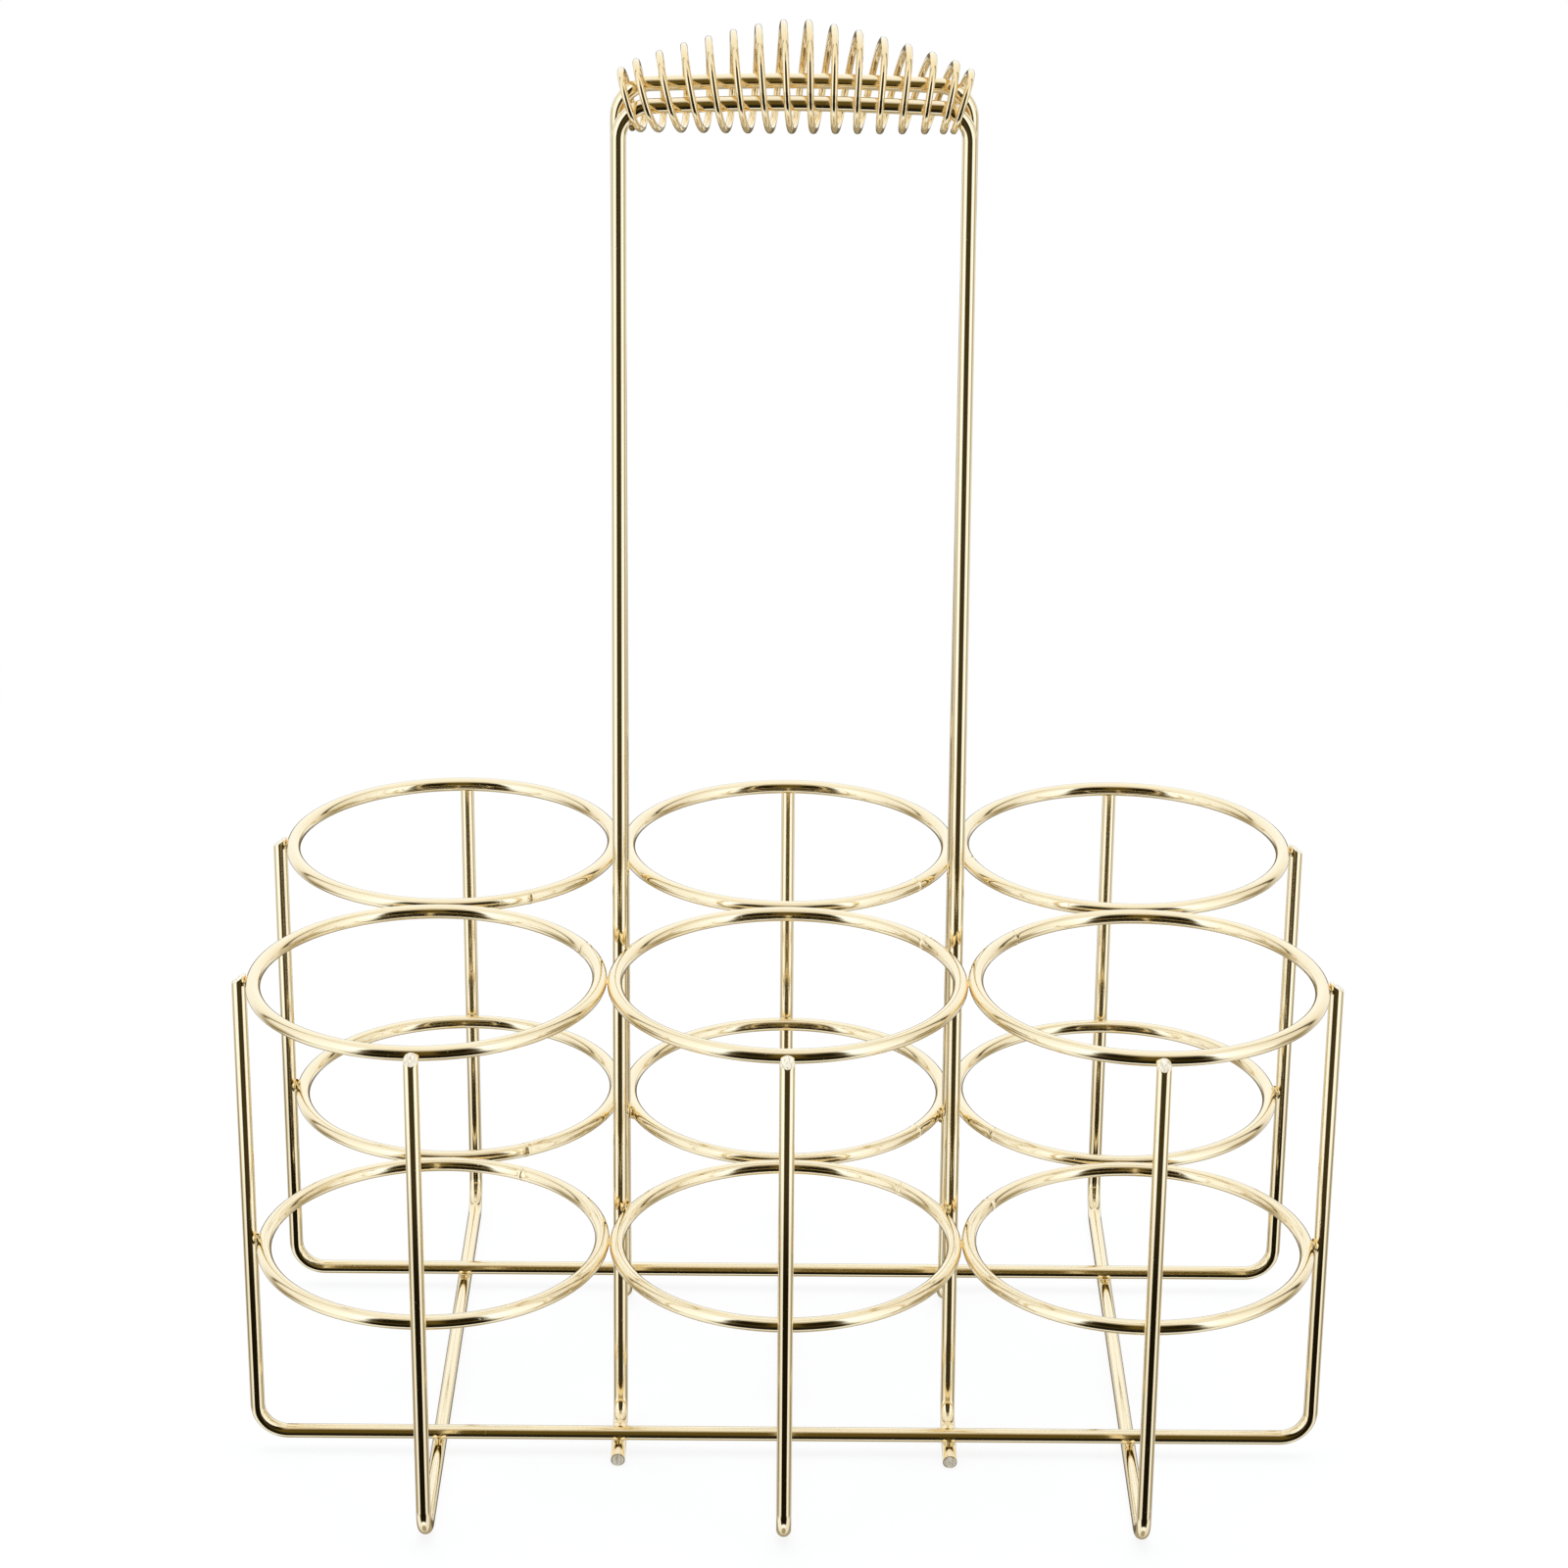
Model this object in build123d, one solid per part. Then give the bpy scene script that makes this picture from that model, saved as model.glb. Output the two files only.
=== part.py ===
"""Free-standing caddy for six bottles, bent and welded from round wire.

Millimetres. +Z is up, X runs along the row of three bottles, Y from front to rear.
The origin is under the middle of the caddy, on the surface that it stands on.
"""
from build123d import *
import math
import os

# Wire and welds
wire_diameter = 3.5
weld_gap = 0.1

# Bottle cells
ring_bore = 78.0
column_count = 3
lower_ring_height = 58.3
top_ring_height = 127.3

# Frames
rail_bend_radius = 7.5
runner_bend_radius = 8.5
post_top_rise = 1.2
post_cut_angle = 33

# Handle bails. Each leg's angle is where it touches its ring, from the line through the row's ring centres.
front_leg_angle = 23.7
rear_leg_angle = 19.5
front_top_reach_share = 0.985
rear_top_reach_share = 0.966
front_bar_height = 328.0
rear_bail_rise = 4.1
bar_clear_space = 1.5
bar_crown_drop = 1.25
bar_crown_radius = 500.0
front_bail_bend_radius = 7.4
rear_bail_bend_radius = 8.0
foot_bend_radius = 7.0
foot_overhang = 5.2

# Coil grip
coil_wire = 1.6
coil_turns = 16
closing_turns = 2
closing_pitch = 1.35
coil_middle_height = 24.3
end_loop_clearance = 0.25
end_loop_drop = 2.7
coil_end_clearance = 0.75
loop_lean = 4.0
winding_tilt = 0.3
winding_swing = 0.5
height_fade_power = 1.35
lean_fade_power = 1.6
spans_per_turn = 4
loop_depth_share = 1.09

# How far a cut or an end that is cut away runs past the metal
cut_overrun = 6.0

wire_radius = wire_diameter / 2
coil_radius = coil_wire / 2
weld_step = wire_diameter + weld_gap
ring_radius = (ring_bore + wire_diameter) / 2
touch_radius = ring_radius + weld_step
ring_pitch = ring_bore + wire_diameter + weld_step
row_y = ring_pitch / 2
runner_height = wire_radius
rail_height = runner_height + weld_step
end_post_x = (column_count - 1) / 2 * ring_pitch + touch_radius
side_post_y = row_y + touch_radius
post_peak = top_ring_height + post_top_rise
bar_y = (wire_diameter + bar_clear_space) / 2
rear_bar_height = front_bar_height + rear_bail_rise


def tube(path, diameter):
    """Round wire along a path."""
    start = Plane(origin=path @ 0, z_dir=path % 0)
    return sweep(start * Circle(diameter / 2), path)


def save(shape, node):
    """Write one piece and tell its volume."""
    export_step(shape, f"parts/{node}.step")
    print(node, "volume", round(shape.volume, 1))


def ring(x, y, height):
    """One bottle ring, lying flat."""
    return Pos(x, y, height) * Torus(ring_radius, wire_radius)


def u_frame(half_length, bar_height, bend_radius):
    """A bar along X that turns up into a post at each end, each post cut off at a slant.

    The slants face outwards, so that the high side of each cut lies against its ring.
    """
    open_end = post_peak + cut_overrun
    path = FilletPolyline(
        (-half_length, 0, open_end),
        (-half_length, 0, bar_height),
        (half_length, 0, bar_height),
        (half_length, 0, open_end),
        radius=bend_radius,
    )
    frame = tube(path, wire_diameter)
    inner_edge = half_length - wire_radius
    slant = math.radians(post_cut_angle)
    for side in (-1, 1):
        cut = Plane(
            origin=(side * inner_edge, 0, post_peak),
            z_dir=(side * math.sin(slant), 0, math.cos(slant)),
        )
        frame = split(frame, bisect_by=cut, keep=Keep.BOTTOM)
    return frame


def touch_reach(leg_angle):
    """How far out from the middle a leg stands where it touches its ring."""
    return touch_radius * math.cos(math.radians(leg_angle))


def handle_bail(side, leg_angle, top_reach_share, bar_height, bend_radius):
    """An inverted U whose straight legs lean in to the top bar.

    Each leg touches the middle ring of its row at the lower tier, and its foot turns out under the rail.
    side is -1 at the front and 1 at the rear.
    """
    leg_reach = touch_reach(leg_angle)
    touch_y = row_y - touch_radius * math.sin(math.radians(leg_angle))
    top_reach = top_reach_share * leg_reach
    corner_height = bar_height - bar_crown_drop
    below_share = (lower_ring_height - runner_height) / (corner_height - lower_ring_height)
    foot_reach = leg_reach + (leg_reach - top_reach) * below_share
    foot_y = touch_y + (touch_y - bar_y) * below_share
    toe_y = row_y + wire_radius + foot_overhang
    crown_rise = bar_crown_radius * (1 / math.cos(math.atan(bar_crown_drop / top_reach)) - 1)
    legs = []
    for end in (-1, 1):
        legs.append([
            (end * foot_reach, side * toe_y, runner_height),
            (end * foot_reach, side * foot_y, runner_height),
            (end * top_reach, side * bar_y, corner_height),
        ])
    apex = (0, side * bar_y, bar_height + crown_rise)
    path = FilletPolyline(
        *legs[0],
        apex,
        *reversed(legs[1]),
        radius=(foot_bend_radius, bend_radius, bar_crown_radius, bend_radius, foot_bend_radius),
    )
    return tube(path, wire_diameter)


# The coil grip. Both bars run through all its turns. Its end loops close in round the bends of the bails,
# and its turns grow towards the middle, with their undersides level.
bar_spacing = math.hypot(2 * bar_y, rear_bail_rise)
end_loop_height = bar_spacing + wire_diameter + 2 * end_loop_clearance + coil_wire
coil_underside = front_bar_height + rear_bail_rise / 2 - end_loop_drop - end_loop_height / 2
narrow_top_reach = min(
    front_top_reach_share * touch_reach(front_leg_angle),
    rear_top_reach_share * touch_reach(rear_leg_angle),
)
half_turns = coil_turns / 2
coil_end_x = narrow_top_reach - wire_radius - coil_radius - coil_end_clearance + loop_lean / 2
coil_pitch = (coil_end_x - closing_pitch * closing_turns / 2) / (half_turns - closing_turns / 2)


def coil_point(turn):
    """Centre of the coil wire after a number of turns, from the underside of the left end loop."""
    from_middle = turn - half_turns
    side = math.copysign(1, from_middle)
    away = abs(from_middle)
    fade_share = min(away / half_turns, 1)
    height = coil_middle_height - (coil_middle_height - end_loop_height) * fade_share ** height_fade_power
    closing = max(away - half_turns + closing_turns, 0)
    along = coil_pitch * away - (coil_pitch - closing_pitch) * closing ** 2 / (2 * closing_turns)
    lean = loop_lean * (1 - (1 - fade_share) ** lean_fade_power)
    angle = 2 * math.pi * turn
    sideways = winding_swing * math.sin(angle) - winding_tilt * math.cos(angle)
    return Vector(
        side * (along - lean / 2 * math.cos(angle)) + sideways,
        loop_depth_share * height / 2 * math.sin(angle),
        coil_underside + height / 2 * (1 - math.cos(angle)),
    )


def coil_direction(turn):
    """Direction of the coil wire, from two points that lie close on either side."""
    step_share = 1 / 2000
    return (coil_point(turn + step_share) - coil_point(turn - step_share)).normalized()


def biarc(start, start_direction, end, end_direction):
    """Two arcs in space that leave start and reach end along the given directions."""
    chord = end - start
    both = start_direction + end_direction
    spread = 2 * (1 - start_direction.dot(end_direction))
    along = chord.dot(both)
    reach = (math.sqrt(along ** 2 + spread * chord.dot(chord)) - along) / spread
    near = start + start_direction * reach
    far = end - end_direction * reach
    middle = (near + far) * 0.5
    first = TangentArc(start, middle, tangent=start_direction)
    second = TangentArc(middle, end, tangent=far - near)
    return [first, second]


def coil_grip():
    """One open coil of thinner wire, cut off at the underside of both end loops."""
    steps = spans_per_turn * coil_turns
    turns = [i / spans_per_turn for i in range(steps + 1)]
    points = [coil_point(turn) for turn in turns]
    directions = [coil_direction(turn) for turn in turns]
    edges = []
    for i in range(steps):
        edges += biarc(points[i], directions[i], points[i + 1], directions[i + 1])
    path = Wire(edges)
    return tube(path, coil_wire), path


def coil_self_gap(path):
    """Least clear space between one stretch of the coil and the next turns of it."""
    samples_per_turn = 60
    count = samples_per_turn * coil_turns
    points = [path @ (i / count) for i in range(count + 1)]
    apart = samples_per_turn // 3
    least = min(
        (points[i] - points[j]).length
        for i in range(count + 1)
        for j in range(i + apart, min(i + 2 * samples_per_turn, count + 1))
    )
    return least - coil_wire


os.makedirs("parts", exist_ok=True)

column_names = ("left", "centre", "right")
row_names = ("front", "rear")
tier_heights = {"top": top_ring_height, "lower": lower_ring_height}
column_places = [(i - (column_count - 1) / 2) * ring_pitch for i in range(column_count)]

for tier, height in tier_heights.items():
    for row, y in zip(row_names, (-row_y, row_y)):
        for column, x in zip(column_names, column_places):
            save(ring(x, y, height), f"ring_{tier}_{row}_{column}")

rail = u_frame(end_post_x, rail_height, rail_bend_radius)
for row, y in zip(row_names, (-row_y, row_y)):
    save(Pos(0, y, 0) * rail, f"{row}_rail_frame")

runner = Rot(0, 0, 90) * u_frame(side_post_y, runner_height, runner_bend_radius)
for column, x in zip(column_names, column_places):
    save(Pos(x, 0, 0) * runner, f"{column}_runner_frame")

front_bail = handle_bail(-1, front_leg_angle, front_top_reach_share, front_bar_height, front_bail_bend_radius)
save(front_bail, "front_handle_bail")
rear_bail = handle_bail(1, rear_leg_angle, rear_top_reach_share, rear_bar_height, rear_bail_bend_radius)
save(rear_bail, "rear_handle_bail")

grip, grip_path = coil_grip()
save(grip, "coil_grip")
print("coil section times length", round(math.pi * coil_radius ** 2 * grip_path.length, 1))
print("least gap of the coil to itself", round(coil_self_gap(grip_path), 2))
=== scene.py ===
"""Bottle caddy of bright plated round wire, dressed over its fixed frame.

Metres. +Z is up, X runs along the row of three bottles and the caddy's front faces -Y.
"""
import math
import random

import bpy
from mathutils import Matrix, Vector


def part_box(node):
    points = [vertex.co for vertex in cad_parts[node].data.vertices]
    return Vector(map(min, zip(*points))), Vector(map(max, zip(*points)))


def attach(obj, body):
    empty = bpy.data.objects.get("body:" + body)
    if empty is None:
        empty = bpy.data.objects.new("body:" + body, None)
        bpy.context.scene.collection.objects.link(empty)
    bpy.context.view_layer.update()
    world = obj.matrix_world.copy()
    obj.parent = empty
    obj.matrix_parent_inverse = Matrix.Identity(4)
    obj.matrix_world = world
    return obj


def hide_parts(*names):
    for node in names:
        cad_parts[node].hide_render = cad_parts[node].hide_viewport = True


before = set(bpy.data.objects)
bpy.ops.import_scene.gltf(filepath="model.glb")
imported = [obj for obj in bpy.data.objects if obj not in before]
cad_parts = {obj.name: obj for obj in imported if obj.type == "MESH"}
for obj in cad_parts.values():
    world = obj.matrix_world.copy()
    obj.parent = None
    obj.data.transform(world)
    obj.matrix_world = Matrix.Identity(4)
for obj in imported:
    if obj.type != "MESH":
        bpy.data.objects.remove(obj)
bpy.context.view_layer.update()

bl_info = {
    "name": "Wire bottle caddy",
    "version": (1, 0, 0),
    "blender": (4, 5, 0),
    "location": "3D View > Sidebar > Caddy",
    "description": "Rings, frames, bails, coil grip and welds of a six-cell wire caddy",
    "category": "Add Mesh",
}

MM = 0.001
COLUMNS = ("left", "centre", "right")
ROWS = ("front", "rear")
TIERS = ("top", "lower")

WHITE = (1, 1, 1)

# How finely the wires are made
WIRE_SIDES = 32
BEND_STEPS = 14
CROWN_STEPS = 6
RING_STEPS = 160
COIL_STEPS_PER_TURN = 40
COIL_SIDES = 16
RIM_STEPS = 2
SMOOTH_ANGLE = math.radians(38)
MERGE_DISTANCE = 1e-6


def node_centre(node):
    """Middle of a frame node's box."""
    low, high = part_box(node)
    return (low + high) / 2


# What the frame says
RAIL_LOW, RAIL_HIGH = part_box("front_rail_frame")
RUNNER_LOW, RUNNER_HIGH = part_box("centre_runner_frame")
RING_LOW, RING_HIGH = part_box("ring_top_front_centre")
WIRE = RAIL_HIGH.y - RAIL_LOW.y
RING_RADIUS = (RING_HIGH.x - RING_LOW.x - WIRE) / 2
WELD_GAP = RAIL_LOW.z - WIRE
BAIL_BOX = {row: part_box(f"{row}_handle_bail") for row in ROWS}
COIL_LOW, COIL_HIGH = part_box("coil_grip")


class CaddySizes(bpy.types.PropertyGroup):
    """Sizes of the caddy's wires."""

    rail_bend: bpy.props.FloatProperty(
        name="Rail bend", description="Radius at the corners of the long frames",
        default=7.5 * MM, unit="LENGTH",
    )
    runner_bend: bpy.props.FloatProperty(
        name="Runner bend", description="Radius at the corners of the cross frames",
        default=8.5 * MM, unit="LENGTH",
    )
    post_slant: bpy.props.FloatProperty(
        name="Post cut", description="Slant of the cut at the top of each post",
        default=math.radians(33), subtype="ANGLE",
    )
    front_bail_bend: bpy.props.FloatProperty(
        name="Front bail bend", description="Radius at the top corners of the front bail",
        default=7.4 * MM, unit="LENGTH",
    )
    rear_bail_bend: bpy.props.FloatProperty(
        name="Rear bail bend", description="Radius at the top corners of the rear bail",
        default=8 * MM, unit="LENGTH",
    )
    front_narrowing: bpy.props.FloatProperty(
        name="Front narrowing", description="Share of the front legs' reach that is left at the top",
        default=0.985, min=0.5, max=1, subtype="FACTOR",
    )
    rear_narrowing: bpy.props.FloatProperty(
        name="Rear narrowing", description="Share of the rear legs' reach that is left at the top",
        default=0.966, min=0.5, max=1, subtype="FACTOR",
    )
    foot_bend: bpy.props.FloatProperty(
        name="Foot bend", description="Radius where each bail's foot turns out",
        default=7 * MM, unit="LENGTH",
    )
    crown_drop: bpy.props.FloatProperty(
        name="Crown", description="How far the ends of each top bar lie under its middle",
        default=1.25 * MM, unit="LENGTH",
    )
    crown_radius: bpy.props.FloatProperty(
        name="Crown radius", description="Radius at the middle of each top bar",
        default=500 * MM, unit="LENGTH",
    )
    end_bevel: bpy.props.FloatProperty(
        name="End bevel", description="Rounding round the cut ends",
        default=0.22 * MM, unit="LENGTH",
    )
    seam_lip: bpy.props.FloatProperty(
        name="Seam lip", description="How far the butt weld's lips stand proud of a ring",
        default=0.07 * MM, unit="LENGTH",
    )
    coil_wire: bpy.props.FloatProperty(
        name="Coil wire", description="Thickness of the coil's wire",
        default=1.6 * MM, unit="LENGTH",
    )
    coil_turns: bpy.props.IntProperty(
        name="Coil turns", description="Number of turns of the coil grip",
        default=16, min=4,
    )
    weld_reach: bpy.props.FloatProperty(
        name="Weld reach", description="How far a crossing weld spreads",
        default=1.45 * MM, unit="LENGTH",
    )


class CaddyFinish(bpy.types.PropertyGroup):
    """Colours of the plating and of the floor."""

    plating: bpy.props.FloatVectorProperty(
        name="Plating", description="Colour of the bright plating",
        default=(0.98, 0.82, 0.52), subtype="COLOR", size=3, min=0, max=1,
    )
    plating_deep: bpy.props.FloatVectorProperty(
        name="Deep plating", description="Colour where the plating lies thicker",
        default=(0.97, 0.8, 0.49), subtype="COLOR", size=3, min=0, max=1,
    )
    coil_plating: bpy.props.FloatVectorProperty(
        name="Coil plating", description="Colour of the plating on the coil",
        default=(0.97, 0.77, 0.43), subtype="COLOR", size=3, min=0, max=1,
    )
    weld: bpy.props.FloatVectorProperty(
        name="Weld", description="Colour of the plated welds",
        default=(0.93, 0.72, 0.34), subtype="COLOR", size=3, min=0, max=1,
    )
    sheared: bpy.props.FloatVectorProperty(
        name="Sheared end", description="Colour of the plated cut faces",
        default=(0.94, 0.87, 0.7), subtype="COLOR", size=3, min=0, max=1,
    )
    scored: bpy.props.FloatVectorProperty(
        name="Scored lines", description="Colour in the lines that the cutter leaves across a cut face",
        default=(0.62, 0.52, 0.34), subtype="COLOR", size=3, min=0, max=1,
    )
    floor: bpy.props.FloatVectorProperty(
        name="Floor", description="Colour of the floor",
        default=(0.9, 0.9, 0.9), subtype="COLOR", size=3, min=0, max=1,
    )


# A warmer grey keeps its red and loses these shares of its green and blue for each unit of warmth
WARM_GREEN_LOSS = 0.14
WARM_BLUE_LOSS = 0.42

# The colour sockets of a Mix node, which go by number because several share a name
MIX_FACTOR, MIX_FIRST, MIX_SECOND = 0, 6, 7
MIX_RESULT = 2


class Value:
    """A node's output that can stand in sums."""

    def __init__(self, tree, socket):
        self.tree = tree
        self.socket = socket

    def _math(self, operation, first, second):
        return self.tree.node("ShaderNodeMath", {"operation": operation}, {0: first, 1: second})

    def __add__(self, other):
        return self._math("ADD", self, other)

    def __radd__(self, other):
        return self._math("ADD", other, self)

    def __sub__(self, other):
        return self._math("SUBTRACT", self, other)

    def __rsub__(self, other):
        return self._math("SUBTRACT", other, self)

    def __mul__(self, other):
        return self._math("MULTIPLY", self, other)

    def __rmul__(self, other):
        return self._math("MULTIPLY", other, self)

    def smooth(self, low, high):
        """0 below low and 1 above high, with a soft step between."""
        return self.tree.node(
            "ShaderNodeMapRange", {"interpolation_type": "SMOOTHSTEP"},
            {"Value": self, "From Min": low, "From Max": high},
        )


class Tree:
    """Builds a node tree."""

    def __init__(self, owner):
        owner.use_nodes = True
        self.nodes = owner.node_tree.nodes
        self.links = owner.node_tree.links
        self.nodes.clear()

    def node(self, kind, settings=None, inputs=None, output=0):
        """Adds a node with its settings, then its inputs, and returns one of its outputs."""
        made = self.nodes.new(kind)
        for key, value in (settings or {}).items():
            if key == "stops":
                self._stops(made.color_ramp.elements, value)
            else:
                setattr(made, key, value)
        for key, value in (inputs or {}).items():
            if isinstance(value, Value):
                self.links.new(value.socket, made.inputs[key])
            elif hasattr(value, "__len__") and len(made.inputs[key].default_value) > len(value):
                made.inputs[key].default_value = (*value, 1)
            else:
                made.inputs[key].default_value = value
        return Value(self, made.outputs[output]) if len(made.outputs) else None

    @staticmethod
    def _stops(elements, stops):
        """A ramp's stops: places, levels and how warm each is."""
        for i, (place, level, warmth) in enumerate(stops):
            stop = elements[i] if i < 2 else elements.new(place)
            stop.position = place
            green = level * (1 - WARM_GREEN_LOSS * warmth)
            blue = level * (1 - WARM_BLUE_LOSS * warmth)
            stop.color = (level, green, blue, 1)

    def mix(self, factor, first, second):
        """Blends two colours."""
        return self.node(
            "ShaderNodeMix", {"data_type": "RGBA"},
            {MIX_FACTOR: factor, MIX_FIRST: first, MIX_SECOND: second}, output=MIX_RESULT,
        )

    def noise(self, place, scale, detail=2.0, roughness=0.5):
        """Noise of that many bumps to the metre."""
        return self.node(
            "ShaderNodeTexNoise", {},
            {"Vector": place, "Scale": scale, "Detail": detail, "Roughness": roughness},
        )

    def stretched_noise(self, place, scales, detail, roughness=0.5):
        """Noise with its own number of bumps to the metre along each axis."""
        stretched = self.node("ShaderNodeMapping", {}, {"Vector": place, "Scale": scales})
        return self.noise(stretched, 1, detail, roughness)

    def bump(self, strength, distance, height):
        """A bumped normal."""
        return self.node(
            "ShaderNodeBump", {}, {"Strength": strength, "Distance": distance, "Height": height}
        )


def start_finish(name):
    """A new material, its node tree, the place on the object and the colours."""
    material = bpy.data.materials.new(name)
    tree = Tree(material)
    return material, tree, tree.node("ShaderNodeTexCoord", output="Object"), bpy.context.scene.caddy_finish


def end_finish(tree, inputs):
    """Plating with those inputs, as the material's surface."""
    shader = tree.node("ShaderNodeBsdfPrincipled", {}, inputs)
    tree.node("ShaderNodeOutputMaterial", {}, {"Surface": shader})


def plated_wire(name):
    """Bright plating on drawn wire, with patches, pits, rubbed specks and short scratches."""
    material, tree, place, finish = start_finish(name)
    patch = tree.noise(place, 55, detail=3, roughness=0.6)
    grain = tree.noise(place, 900, detail=3, roughness=0.6)
    speck = tree.noise(place, 1300, detail=1, roughness=0.4).smooth(0.68, 0.74)
    speck_area = tree.noise(place, 150).smooth(0.5, 0.6)
    scratch = tree.stretched_noise(place, (2200, 2200, 240), detail=2).smooth(0.7, 0.76)
    scratch_area = tree.noise(place, 90).smooth(0.52, 0.62)
    worn = tree.node(
        "ShaderNodeMath", {"operation": "MAXIMUM"}, {0: speck * speck_area, 1: scratch * scratch_area}
    )
    end_finish(tree, {
        "Base Color": tree.mix(patch.smooth(0.35, 0.8), finish.plating, finish.plating_deep),
        "Metallic": 1.0,
        "Roughness": 0.09 + patch.smooth(0.3, 0.8) * 0.02 + worn * 0.2,
        "Normal": tree.bump(0.25, 0.03 * MM, grain * 0.02 - worn * 0.8),
    })
    return material


def coil_wire(name):
    """Bright plating on the thin spring wire, without the marks of the thicker wire."""
    material, tree, place, finish = start_finish(name)
    patch = tree.noise(place, 120).smooth(0.35, 0.8)
    end_finish(tree, {
        "Base Color": tree.mix(patch, finish.coil_plating, finish.plating_deep),
        "Metallic": 1.0,
        "Roughness": 0.07 + patch * 0.02,
    })
    return material


def sheared_end(name):
    """The face that a cutter leaves, plated over: dull and scored across."""
    material, tree, place, finish = start_finish(name)
    lines = tree.stretched_noise(place, (3200, 900, 700), detail=3, roughness=0.6)
    torn = tree.noise(place, 1500)
    end_finish(tree, {
        "Base Color": tree.mix(lines.smooth(0.42, 0.68), finish.sheared, finish.scored),
        "Metallic": 0.3,
        "Roughness": 0.5,
        "Normal": tree.bump(0.5, 0.2 * MM, lines + torn * 0.7),
    })
    return material


def plated_weld(name):
    """Squeezed-out weld metal under the plating: deeper gold and a little rougher."""
    material, tree, place, finish = start_finish(name)
    lumps = tree.noise(place, 1400, detail=3, roughness=0.6)
    end_finish(tree, {
        "Base Color": tree.mix(lumps.smooth(0.4, 0.65), finish.weld, finish.plating),
        "Metallic": 1.0,
        "Roughness": 0.16 + lumps * 0.15,
        "Normal": tree.bump(0.6, 0.2 * MM, lumps),
    })
    return material


FINISHES = {
    "Bright plated wire": plated_wire,
    "Bright coil wire": coil_wire,
    "Plated sheared end": sheared_end,
    "Plated weld": plated_weld,
}


def give_finishes(made, *names):
    """The named finishes, in the mesh's slots."""
    made.data.materials.clear()
    for name in names:
        made.data.materials.append(bpy.data.materials.get(name) or FINISHES[name](name))


def start_clean():
    """Object mode with nothing selected."""
    if bpy.context.object and bpy.context.object.mode != "OBJECT":
        bpy.ops.object.mode_set(mode="OBJECT")
    bpy.ops.object.select_all(action="DESELECT")


def edit_all(made):
    """Edit mode with the whole mesh selected."""
    start_clean()
    made.select_set(True)
    bpy.context.view_layer.objects.active = made
    bpy.ops.object.mode_set(mode="EDIT")
    bpy.ops.mesh.select_mode(type="VERT")
    bpy.ops.mesh.select_all(action="SELECT")


def wire_section(name, place, direction):
    """A circle across the wire's direction, in edit mode and selected."""
    start_clean()
    turn = Vector(direction).to_track_quat("Z", "Y").to_euler()
    bpy.ops.mesh.primitive_circle_add(
        vertices=WIRE_SIDES, radius=WIRE / 2, fill_type="NOTHING", location=place, rotation=turn
    )
    made = bpy.context.object
    made.name = made.data.name = name
    bpy.ops.object.transform_apply(location=True, rotation=True, scale=True)
    edit_all(made)
    return made


def merge_and_turn_out():
    """Merges doubled points and turns all faces outwards."""
    bpy.ops.mesh.select_all(action="SELECT")
    bpy.ops.mesh.remove_doubles(threshold=MERGE_DISTANCE)
    bpy.ops.mesh.normals_make_consistent(inside=False)


def bend_wire(name, points, bends):
    """Round wire through points, left in edit mode. Each inner point has a bend: its radius and steps."""
    points = [Vector(p) for p in points]
    made = wire_section(name, points[0], points[1] - points[0])
    here = points[0]
    for i, (radius, steps) in enumerate(bends, start=1):
        inward = (points[i] - points[i - 1]).normalized()
        onward = (points[i + 1] - points[i]).normalized()
        angle = inward.angle(onward)
        reach = radius * math.tan(angle / 2)
        axis = inward.cross(onward).normalized()
        bend_start = points[i] - inward * reach
        centre = bend_start + axis.cross(inward) * radius
        bpy.ops.mesh.extrude_region_move(TRANSFORM_OT_translate={"value": bend_start - here})
        bpy.ops.mesh.spin(steps=steps, angle=-angle, center=centre, axis=axis)
        here = points[i] + onward * reach
    bpy.ops.mesh.extrude_region_move(TRANSFORM_OT_translate={"value": points[-1] - here})
    merge_and_turn_out()
    return made


def close_ends(made):
    """Fills the open ends, rounds their rims a little and gives them the sheared finish."""
    bpy.ops.mesh.select_mode(type="EDGE")
    bpy.ops.mesh.select_all(action="DESELECT")
    bpy.ops.mesh.select_non_manifold(
        extend=False, use_wire=False, use_boundary=True, use_multi_face=False, use_non_contiguous=False,
        use_verts=False,
    )
    bpy.ops.mesh.edge_face_add()
    bevel = bpy.context.scene.caddy_sizes.end_bevel
    bpy.ops.mesh.bevel(offset=bevel, segments=RIM_STEPS, affect="EDGES")
    merge_and_turn_out()
    bpy.ops.object.mode_set(mode="OBJECT")
    give_finishes(made, "Bright plated wire", "Plated sheared end")
    # Only a cut face has as many corners as the wire has sides
    for face in made.data.polygons:
        face.material_index = 1 if len(face.vertices) > WIRE_SIDES / 2 else 0
    make_smooth(made)


def make_smooth(made):
    """Smooth wire with crisp cut faces."""
    start_clean()
    made.select_set(True)
    bpy.context.view_layer.objects.active = made
    bpy.ops.object.shade_smooth_by_angle(angle=SMOOTH_ANGLE)


def finish_piece(made, body, *nodes):
    """The piece moves with its body and stands for its nodes."""
    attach(made, body)
    if nodes:
        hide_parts(*nodes)


def copy_to(source, name, place, turn=0.0):
    """A copy with its own mesh, turned about Z and moved."""
    made = source.copy()
    made.data = source.data.copy()
    made.name = made.data.name = name
    made.data.transform(Matrix.Translation(place) @ Matrix.Rotation(turn, 4, "Z"))
    bpy.context.scene.collection.objects.link(made)
    return made


def drop(source):
    """Removes a source whose copies are placed."""
    mesh = source.data
    bpy.data.objects.remove(source)
    bpy.data.meshes.remove(mesh)


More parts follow.
